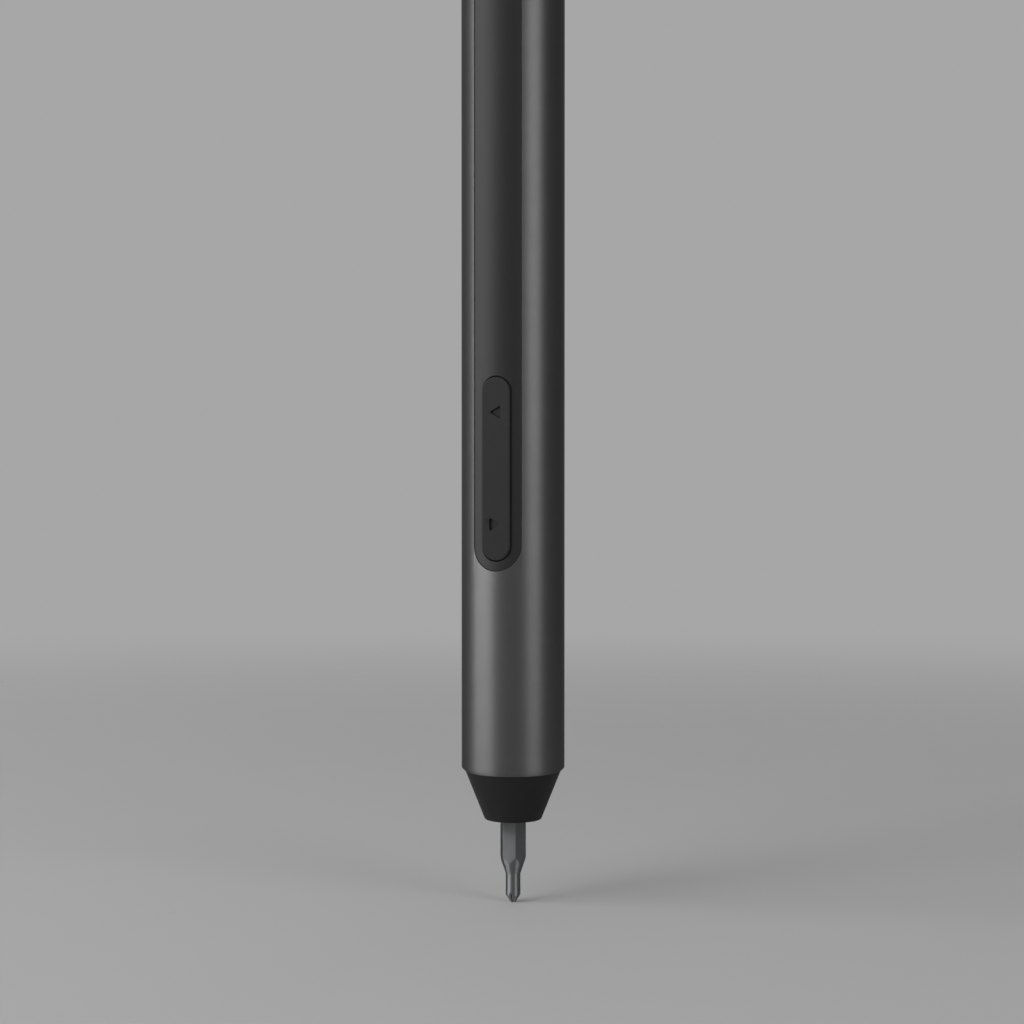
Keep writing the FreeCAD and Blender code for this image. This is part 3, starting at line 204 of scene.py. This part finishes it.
def pill_loop(places, outline, cylinder):
    return [on_front(cylinder, outline * dx, z + outline * dz) for z, dx, dz in places]


def pill_rings(skin, places, rings):
    skin.grid([pill_loop(places, outline, cylinder) for outline, cylinder in rings], closed=True)


def inside(x, z, loop):
    found = False
    for k, (x1, z1) in enumerate(loop):
        x0, z0 = loop[k - 1]
        if (z0 > z) != (z1 > z) and x < x0 + (x1 - x0) * (z - z0) / (z1 - z0):
            found = not found
    return found


def fill_between(skin, outline, holes, lift):
    """Fills the area inside the outline and outside the holes, as seen along Y."""
    inside_only, near = 1, 1e-7
    points, edges = [], []
    for loop in [outline] + holes:
        first = len(points)
        points += [Vector((p[0], p[2])) for p in loop]
        edges += [(first + k, first + (k + 1) % len(loop)) for k in range(len(loop))]
    kept_out = [[(p[0], p[2]) for p in loop] for loop in holes]
    places, _, faces, *_ = delaunay_2d_cdt(points, edges, [], inside_only, near)
    kept = []
    for face in faces:
        x = sum(places[k].x for k in face) / len(face)
        z = sum(places[k].y for k in face) / len(face)
        if not any(inside(x, z, loop) for loop in kept_out):
            kept.append(face)
    skin.add([lift(p.x, p.y) for p in places], kept)


# Pieces


def make_barrel(material):
    skin = Skin()
    slot_edge, chamfer_rounding, rim_rounding, end_band = 0.06, 0.3, 0.06, 1.6
    start, stop = TUBE_FRONT + end_band, TUBE_REAR - end_band
    arc = half_turn(48)
    side = steps(SLOT_LOW, SLOT_HIGH, 20)
    low_share, high_share = steps(0.0, 1.0, 8), steps(0.0, 1.0, 3)

    def wall(radius, slot):
        """A wall in three sheets: below, above and behind the slot. Returns its angles round the axis."""
        columns = [(slot * math.sin(a), slot * math.cos(a)) for a in arc]
        skin.grid([[on_front(radius, x, mix(start, SLOT_LOW - reach, t)) for x, reach in columns]
                   for t in low_share])
        skin.grid([[on_front(radius, x, mix(SLOT_HIGH + reach, stop, t)) for x, reach in columns]
                   for t in high_share])
        heights = [mix(start, SLOT_LOW, t) for t in low_share]
        heights += side[1:-1]
        heights += [mix(SLOT_HIGH, stop, t) for t in high_share]
        gap = math.asin(slot / radius)
        behind = steps(gap, math.tau - gap, 150)
        skin.grid([around(radius, z, behind) for z in heights])
        return [math.asin(x / radius) for x, _ in columns] + behind[1:-1]

    outer = wall(TUBE_RADIUS, SLOT_RADIUS + slot_edge)
    inner = wall(TUBE_BORE, SLOT_RADIUS)
    for end, last, sign in ((TUBE_FRONT, start, 1.0), (TUBE_REAR, stop, -1.0)):
        profile = rounded([
            (TUBE_RADIUS, last, 0.0),
            (TUBE_RADIUS, end + sign * TUBE_CHAMFER, chamfer_rounding),
            (TUBE_RADIUS - TUBE_CHAMFER, end, rim_rounding),
            (TUBE_BORE + RIM_STEP, end, 0.0),
        ])
        rows = [around(r, z, outer) for r, z in profile]
        rows += [around(TUBE_BORE, end, inner), around(TUBE_BORE, last, inner)]
        skin.grid(rows, closed=True)
    rings = fillet_rings(1.0, SLOT_RADIUS, TUBE_RADIUS, TUBE_BORE, slot_edge)
    pill_rings(skin, pill_places(SLOT_LOW, SLOT_HIGH, arc, side), rings)
    ease_front(skin.piece("barrel", "housing", "body_tube", "anodised_barrel", material))


def ease_front(barrel):
    """Shades the chamfer at the front end as a slight roll-off, in the tone of the wall above it."""
    band, corner, most_lean = 0.9, 0.015, math.radians(8.0)
    mesh = barrel.data
    eased = barrel.vertex_groups.new(name="eased")
    normals = [(0.0, 0.0, 0.0)] * len(mesh.loops)
    for loop in mesh.loops:
        x, y, z = (c / MM for c in mesh.vertices[loop.vertex_index].co)
        depth = z - TUBE_FRONT
        if corner < depth < band and math.hypot(x, y) > TUBE_BORE + RIM_STEP:
            lean = most_lean * (1 - depth / band)
            out = Vector((x, y, 0.0)).normalized() * math.cos(lean)
            normals[loop.index] = (out.x, out.y, -math.sin(lean))
            eased.add([loop.vertex_index], 1.0, "REPLACE")
    mesh.normals_split_custom_set(normals)
    even = barrel.modifiers["even_shading"]
    even.vertex_group = eased.name
    even.invert_vertex_group = True


def make_panel(material):
    skin = Skin()
    edge = 0.05
    low_side = steps(OPENING_LOW, OPENING_HIGH, 10)
    high_side = steps(OPENING_HIGH, SLOT_HIGH, 18)
    high_share = [(z - OPENING_HIGH) / (SLOT_HIGH - OPENING_HIGH) for z in high_side]
    end_share = steps(0.0, 1.0, 8)
    outline, opening = PANEL_RADIUS - edge, OPENING_RADIUS + edge

    # the face: a strip on each side of the opening, and one below and one above it
    middle = [opening * math.sin(a) for a in half_turn(40)]
    right = [outline * math.sin(a) for a in steps(math.asin(opening / outline), math.pi / 2, 16)]
    left = [-x for x in reversed(right)]
    for columns in (left, right):
        strip = []
        for x in columns:
            reach = half_chord(outline, x)
            heights = [mix(SLOT_LOW - reach, OPENING_LOW, t) for t in end_share]
            heights += low_side[1:] + high_side[1:]
            heights += [mix(SLOT_HIGH, SLOT_HIGH + reach, t) for t in end_share[1:]]
            strip.append([on_front(PANEL_FACE, x, z) for z in heights])
        skin.grid(strip)
    below, above = [], []
    for x in middle:
        reach, mouth = half_chord(outline, x), half_chord(opening, x)
        heights = [mix(SLOT_LOW - reach, OPENING_LOW - mouth, t) for t in end_share]
        below.append([on_front(PANEL_FACE, x, z) for z in heights])
        heights = [mix(OPENING_HIGH + mouth, SLOT_HIGH, t) for t in high_share]
        heights += [mix(SLOT_HIGH, SLOT_HIGH + reach, t) for t in end_share[1:]]
        above.append([on_front(PANEL_FACE, x, z) for z in heights])
    skin.grid(below)
    skin.grid(above)

    # walls and back
    arc = bearings(left + middle[1:-1] + right, outline)
    places = pill_places(SLOT_LOW, SLOT_HIGH, arc, low_side + high_side[1:])
    pill_rings(skin, places, fillet_rings(-1.0, PANEL_RADIUS, PANEL_FACE, PANEL_BACK, edge))
    mouth_places = pill_places(OPENING_LOW, OPENING_HIGH, bearings(middle, opening), low_side)
    pill_rings(skin, mouth_places, fillet_rings(1.0, OPENING_RADIUS, PANEL_FACE, PANEL_BACK, edge))
    back = pill_loop(places, PANEL_RADIUS, PANEL_BACK)
    hole = pill_loop(mouth_places, OPENING_RADIUS, PANEL_BACK)
    fill_between(skin, back, [hole], lambda x, z: on_front(PANEL_BACK, x, z))
    skin.piece("button_panel", "housing", "panel_strip", "black_plastic", material)


def make_rocker(material):
    skin = Skin()
    edge, rim, rim_front, rim_back = 0.25, 3.25, 6.3, 5.5
    places = pill_places(CAP_LOW, CAP_HIGH, half_turn(40), steps(CAP_LOW, CAP_HIGH, 12))

    def loop(radius, front):
        return [(radius * dx, -front, z + radius * dz) for z, dx, dz in places]

    rows = []
    for t in steps(0.0, math.pi / 2, 7):
        rows.append(loop(CAP_RADIUS - edge * (1 - math.sin(t)), CAP_FACE - edge * (1 - math.cos(t))))
    rows += [loop(CAP_RADIUS, rim_front), loop(rim, rim_front), loop(rim, rim_back)]
    skin.grid(rows, closed=True)
    skin.fan(loop(rim, rim_back))

    # engraved triangles with softened edges and corners, the upper one pointing to -X
    side, depth, soft, soft_share, aside, corner = 2.3, 0.4, 0.04, 0.3, 0.12, 0.2
    across = side / math.sqrt(3.0)

    def triangle(sign, grow, sunk):
        size = across + grow * 2.0  # a corner moves out twice as far as the sides
        x, z = sign * across / 4 - aside, PIVOT_HEIGHT + sign * SWITCH_SPREAD
        tip = math.pi if sign > 0 else 0.0
        angles = [tip + math.tau * k / 3 for k in range(3)]
        corners = [(x + size * math.cos(a), z + size * math.sin(a), corner + grow) for a in angles]
        return [(px, sunk - CAP_FACE, pz) for px, pz in rounded(corners)]

    holes = []
    for sign in (1.0, -1.0):
        rows = [triangle(sign, soft, 0.0), triangle(sign, soft * soft_share, soft * soft_share),
                triangle(sign, 0.0, soft), triangle(sign, 0.0, depth)]
        skin.grid(rows, closed=True)
        skin.fan(rows[-1])
        holes.append(rows[0])
    fill_between(skin, loop(CAP_RADIUS - edge, CAP_FACE), holes, lambda x, z: (x, -CAP_FACE, z))

    # studs that press the switches
    stud, stud_back, stud_edge = 0.8, 5.05, 0.08
    profile = [(stud, rim_back), (stud, stud_back + stud_edge), (stud - stud_edge, stud_back)]
    for z in (PIVOT_HEIGHT + SWITCH_SPREAD, PIVOT_HEIGHT - SWITCH_SPREAD):
        rows = [[(r * math.cos(a), -front, z + r * math.sin(a)) for a in full_turn(40)]
                for r, front in profile]
        skin.grid(rows, closed=True)
        skin.fan(rows[-1])

    # hub that snaps onto the pivot pin from behind
    outer, bore, half_mouth, half_width = 1.1, 0.53, 0.425, 1.5

    def hub(radius, x):
        lean = math.asin(half_mouth / radius)
        angles = steps(lean, math.tau - lean, 48)
        return [(x, -PIVOT_FRONT + radius * math.cos(a), PIVOT_HEIGHT + radius * math.sin(a)) for a in angles]

    corners = [(outer, -half_width), (outer, half_width), (bore, half_width), (bore, -half_width)]
    shell = [hub(radius, x) for radius, x in corners]
    skin.grid(shell + shell[:1])
    for k in (0, -1):
        skin.fan([row[k] for row in shell])
    skin.piece("rocker", "rocker", "rocker_button", "black_plastic", material)


def make_nose(material):
    skin = Skin()
    seam, face, spigot_top = 0.02, 14.14, 26.72
    top = TUBE_FRONT - seam
    flange_seat, bush_seat = 24.0, 19.5
    hole, small, large, spigot, flange, bush = 3.45, 4.8, 8.11, 7.6, 5.35, 4.52
    hole_edge, small_edge, large_edge, spigot_edge = 0.15, 0.35, 0.05, 0.1
    profile = rounded([
        (hole, face, hole_edge), (small, face, small_edge), (large, top, large_edge), (spigot, top, 0.0),
        (spigot, spigot_top, spigot_edge), (flange, spigot_top, 0.0), (flange, flange_seat, 0.0),
        (bush, flange_seat, 0.0), (bush, bush_seat, 0.0), (hole, bush_seat, 0.0),
    ])
    skin.grid([around(r, z, full_turn(160)) for r, z in profile + profile[:1]], closed=True)
    skin.piece("nose", "housing", "nose_cone", "black_plastic", material)


def make_bit(material):
    skin = Skin()
    flat, corner, shank = 2.0, 2.27, 1.25
    taper_low, taper_high, top, chamfer = 4.83, 7.9, 28.0, 0.3
    lean = (flat / math.cos(math.pi / 6) - shank) / (taper_high - taper_low)
    tip, tip_cone = 0.45, 1.2
    flute_top, flute_root, flute_end, flute_side = 1.9, 0.22, 2.5, 1.3
    clear, tiny = 9.0, 1e-6  # clear is further out than any metal
    shank_row, taper_seam, taper_share, hexagon_rows = 3.0, 0.06, 0.01, (10.0, 14.0, 20.0)

    # columns crowd together where the hexagon's edges are rounded
    angles = []
    blend = math.acos(flat / corner)
    gap = math.pi / 3 - 2 * blend
    for k in range(6):
        middle = -math.pi / 2 + k * math.pi / 3
        angles += [middle + a for a in steps(-blend, blend, 10)]
        angles += [middle + blend + gap * t for t in steps(0.0, 1.0, 6)[1:-1]]

    def hexagon(a):
        off = (a + math.pi / 2 + math.pi / 6) % (math.pi / 3) - math.pi / 6
        return min(flat / math.cos(off), corner)

    def flute(a, z):
        """How far out the four V-shaped flutes leave metal at this angle and height."""
        if z >= flute_top:
            return clear
        apex = mix(flute_root, shank, z / flute_top)
        slope = flute_side / (flute_end - apex)
        off = abs((a + math.pi / 4) % (math.pi / 2) - math.pi / 4)
        down = math.cos(off) * slope - math.sin(off)
        return apex * slope / down if down > tiny else clear

    def ring(radii, heights):
        return [(r * math.cos(a), r * math.sin(a), z) for a, r, z in zip(angles, radii, heights)]

    def level(radii, z):
        return ring(radii, [z] * len(angles))

    edges = [hexagon(a) for a in angles]
    rows = [level([0.0] * len(angles), 0.0)]
    for z in steps(0.0, flute_top, 38):
        round_part = min(shank, mix(tip, shank, z / tip_cone))
        rows.append(level([min(round_part, flute(a, z)) for a in angles], z))
    for z in (shank_row, taper_low - taper_seam):
        rows.append(level([shank] * len(angles), z))
    for t in steps(taper_share, 1.0, 10):
        rise = [(r - shank) * t for r in edges]
        rows.append(ring([shank + s for s in rise], [taper_low + s / lean for s in rise]))
    for z in (*hexagon_rows, top - chamfer):
        rows.append(level(edges, z))
    rows.append(level([min(r, corner - chamfer) for r in edges], top))
    rows.append(level([0.0] * len(angles), top))
    skin.grid(rows, closed=True)
    skin.piece("bit", "bit", "driver_bit", "bit_steel", material, sharp=24.0)


# Materials

# most of a noise texture's values lie between these
NOISE_SPAN = (0.3, 0.7)


def grey(level):
    return (level, level, level)


def nodes_of(name):
    material = bpy.data.materials.new(name)
    material.use_nodes = True
    tree = material.node_tree
    shader = tree.nodes["Principled BSDF"]
    place = tree.nodes.new("ShaderNodeTexCoord")
    return material, tree, shader, place.outputs["Object"]


def noise(tree, place, scale, detail=2.0, stretch=(1.0, 1.0, 1.0)):
    mapping = tree.nodes.new("ShaderNodeMapping")
    mapping.inputs["Scale"].default_value = stretch
    texture = tree.nodes.new("ShaderNodeTexNoise")
    texture.inputs["Scale"].default_value = scale
    texture.inputs["Detail"].default_value = detail
    tree.links.new(place, mapping.inputs["Vector"])
    tree.links.new(mapping.outputs["Vector"], texture.inputs["Vector"])
    return texture.outputs["Fac"]


def remap(tree, value, span, result, smooth=False):
    node = tree.nodes.new("ShaderNodeMapRange")
    node.interpolation_type = "SMOOTHSTEP" if smooth else "LINEAR"
    for name, number in zip(("From Min", "From Max", "To Min", "To Max"), span + result):
        node.inputs[name].default_value = number
    tree.links.new(value, node.inputs["Value"])
    return node.outputs["Result"]


def shades(tree, value, dark, light):
    ramp = tree.nodes.new("ShaderNodeValToRGB")
    for stop, position, colour in zip(ramp.color_ramp.elements, NOISE_SPAN, (dark, light)):
        stop.position = position
        stop.color = (*colour, 1.0)
    tree.links.new(value, ramp.inputs["Fac"])
    return ramp.outputs["Color"]


def finish_of(name, colour, vary, rough, grain, bump, metallic=0.0, stretch=(1.0, 1.0, 1.0),
              specular=0.5, rim=1.0, drawn=0.0):
    """A surface with slight colour changes, uneven gloss and a fine grain.

    grain is the size of the grain in millimetres, and stretch how many times finer it is along x, y and z.
    rim tints a metal's reflection at its edges, and drawn is how far highlights run out along the axis.
    """
    clouds_per_metre, quarter_turn, grain_depth = 260.0, 0.25, 0.3
    material, tree, shader, place = nodes_of(name)
    dark = tuple(c * (1 - vary) for c in colour)
    light = tuple(c * (1 + vary) for c in colour)
    cloud = noise(tree, place, clouds_per_metre, detail=3.0)
    fine = noise(tree, place, 1.0 / (grain * MM), stretch=stretch)
    tree.links.new(shades(tree, cloud, dark, light), shader.inputs["Base Color"])
    tree.links.new(remap(tree, fine, NOISE_SPAN, rough), shader.inputs["Roughness"])
    relief = tree.nodes.new("ShaderNodeBump")
    relief.inputs["Strength"].default_value = bump
    relief.inputs["Distance"].default_value = grain * grain_depth * MM
    tree.links.new(fine, relief.inputs["Height"])
    tree.links.new(relief.outputs["Normal"], shader.inputs["Normal"])
    shader.inputs["Metallic"].default_value = metallic
    shader.inputs["Specular IOR Level"].default_value = specular
    shader.inputs["Specular Tint"].default_value = (*grey(rim), 1.0)
    if drawn:
        grooves = tree.nodes.new("ShaderNodeTangent")
        grooves.direction_type = "RADIAL"
        grooves.axis = "Z"
        tree.links.new(grooves.outputs["Tangent"], shader.inputs["Tangent"])
        shader.inputs["Anisotropic"].default_value = drawn
        shader.inputs["Anisotropic Rotation"].default_value = quarter_turn
    return material


def dress_nodes():
    """Gives the CAD nodes their finishes by material slot, but for the barrel and bit, which are replaced."""
    looks = {
        "black_plastic": finish_of("moulded_black", grey(0.016), vary=0.08, rough=(0.52, 0.62), grain=0.12,
                                   bump=0.12, specular=0.25),
        "bright_steel": finish_of("machined_steel", (0.56, 0.56, 0.57), vary=0.05, rough=(0.22, 0.34),
                                  grain=0.06, bump=0.08, metallic=1.0, stretch=(0.3, 0.3, 3.0)),
        "gear_steel": finish_of("sintered_steel", (0.36, 0.355, 0.35), vary=0.1, rough=(0.35, 0.5),
                                grain=0.09, bump=0.25, metallic=1.0),
        "bronze": finish_of("sintered_bronze", (0.58, 0.38, 0.18), vary=0.1, rough=(0.32, 0.46),
                            grain=0.09, bump=0.2, metallic=1.0),
        "motor_steel": finish_of("plated_sheet", (0.5, 0.5, 0.51), vary=0.05, rough=(0.24, 0.36),
                                 grain=0.1, bump=0.06, metallic=1.0, stretch=(3.0, 3.0, 0.3)),
        "core_iron": finish_of("dark_iron", (0.1, 0.095, 0.09), vary=0.12, rough=(0.45, 0.62),
                               grain=0.08, bump=0.25, metallic=0.7, stretch=(1.0, 1.0, 5.0)),
        "chassis_plastic": finish_of("moulded_grey", (0.06, 0.06, 0.064), vary=0.06, rough=(0.45, 0.58),
                                     grain=0.15, bump=0.12),
        "board_green": finish_of("board_lacquer", (0.025, 0.16, 0.075), vary=0.12, rough=(0.28, 0.42),
                                 grain=0.2, bump=0.08),
        "cell_wrap": finish_of("cell_film", (0.05, 0.13, 0.32), vary=0.08, rough=(0.28, 0.4),
                               grain=0.3, bump=0.1),
        "lead_rubber": finish_of("lead_sleeve", (0.34, 0.03, 0.025), vary=0.08, rough=(0.4, 0.52),
                                 grain=0.1, bump=0.1),
    }
    for row in frame["record"]["subparts"]:
        look = looks.get(row["material_slot"])
        if look:
            for slot in frame["nodes"][row["node"]].material_slots:
                slot.material = look


# Studio

# the camera, fitted to the photograph: angles in radians, picture width and focal length in pixels
AROUND, DOWN, ASIDE = math.radians(19.412), 0.016494, 0.000543
FAR, HEIGHT = 0.34614, 0.07207
PICTURE, FOCAL = 1024.0, 2037.26

TOWARDS = Vector((math.sin(AROUND), -math.cos(AROUND), 0.0))
RIGHT = Vector((math.cos(AROUND), math.sin(AROUND), 0.0))
UP = Vector((0.0, 0.0, 1.0))


def put(name, data, location, look):
    """Adds a camera or lamp that faces along look."""
    thing = bpy.data.objects.new(name, data)
    thing.location = location
    thing.rotation_euler = look.to_track_quat("-Z", "Y").to_euler()
    scene.collection.objects.link(thing)
    return thing


def make_camera():
    data = bpy.data.cameras.new("camera")
    data.sensor_width = 36.0
    data.lens = data.sensor_width * FOCAL / PICTURE
    data.clip_start = 0.01
    data.clip_end = 20.0
    look = -TOWARDS * math.cos(DOWN) - RIGHT * ASIDE - UP * math.sin(DOWN)
    scene.camera = put("camera", data, TOWARDS * FAR + UP * HEIGHT, look)


def make_world():
    """An even grey room with one dark side, to the right of the camera."""
    room, dark_side, fade = 0.385, 0.19, (0.3, 0.9)
    world = bpy.data.worlds.new("room")
    scene.world = world
    world.use_nodes = True
    tree = world.node_tree
    place = tree.nodes.new("ShaderNodeTexCoord")
    side = tree.nodes.new("ShaderNodeVectorMath")
    side.operation = "DOT_PRODUCT"
    side.inputs[1].default_value = tuple(RIGHT)
    tree.links.new(place.outputs["Generated"], side.inputs[0])
    level = remap(tree, side.outputs["Value"], fade, (room, dark_side), smooth=True)
    tree.links.new(level, tree.nodes["Background"].inputs["Color"])


def make_floor():
    """A pale grey floor that fades into the room."""
    below, radii = -0.05, (0.0, 60.0, 200.0, 420.0, 700.0)
    clouds_per_metre, dark, light = 30.0, 0.46, 0.465
    fade_span = (0.1, 0.65)  # in metres
    skin = Skin()
    skin.grid([around(r, below, full_turn(96)) for r in radii], closed=True)
    mesh = skin.mesh("floor")
    floor = bpy.data.objects.new("floor", mesh)
    scene.collection.objects.link(floor)
    material, tree, shader, place = nodes_of("pale_floor")
    cloud = noise(tree, place, clouds_per_metre)
    tree.links.new(shades(tree, cloud, grey(dark), grey(light)), shader.inputs["Base Color"])
    shader.inputs["Roughness"].default_value = 0.75
    shader.inputs["Specular IOR Level"].default_value = 0.2
    far = tree.nodes.new("ShaderNodeVectorMath")
    far.operation = "LENGTH"
    tree.links.new(place, far.inputs[0])
    fade = remap(tree, far.outputs["Value"], fade_span, (1.0, 0.0), smooth=True)
    tree.links.new(fade, shader.inputs["Alpha"])
    mesh.materials.append(material)


def make_lamp(name, side, far, height, wide, tall, radiance):
    """A soft lamp. side is its angle from the camera as seen from above, positive to the right."""
    data = bpy.data.lights.new(name, "AREA")
    data.shape = "RECTANGLE"
    data.size, data.size_y = wide, tall
    data.energy = radiance * math.pi * wide * tall
    angle, aim = math.radians(side), 0.08
    location = (TOWARDS * math.cos(angle) + RIGHT * math.sin(angle)) * far + UP * height
    put(name, data, location, UP * aim - location)


def main():
    scene.view_settings.view_transform = "Standard"
    make_camera()
    make_world()
    make_floor()
    make_lamp("left_strip", side=-72.5, far=0.75, height=0.2, wide=0.72, tall=0.9, radiance=3.2)
    make_lamp("right_strip", side=47.0, far=0.75, height=0.2, wide=0.42, tall=0.9, radiance=2.1)
    make_lamp("top_softbox", side=-50.0, far=0.7, height=0.75, wide=0.5, tall=0.4, radiance=2.4)
    dress_nodes()
    make_barrel(finish_of("anodised_satin", grey(0.119), vary=0.03, rough=(0.4, 0.48), grain=0.07, bump=0.1,
                          metallic=1.0, rim=0.5, drawn=0.55))
    make_panel(finish_of("panel_plastic", grey(0.0105), vary=0.06, rough=(0.46, 0.54), grain=0.1, bump=0.08,
                         specular=0.34))
    make_rocker(finish_of("button_plastic", grey(0.008), vary=0.06, rough=(0.52, 0.62), grain=0.1, bump=0.1,
                          specular=0.3))
    make_nose(finish_of("nose_plastic", grey(0.018), vary=0.08, rough=(0.55, 0.65), grain=0.12, bump=0.12,
                        specular=0.1))
    make_bit(finish_of("turned_steel", (0.222, 0.2255, 0.2315), vary=0.05, rough=(0.38, 0.46), grain=0.1,
                       bump=0.03, metallic=1.0, stretch=(0.15, 0.15, 3.0), rim=0.4, drawn=1.0))


main()
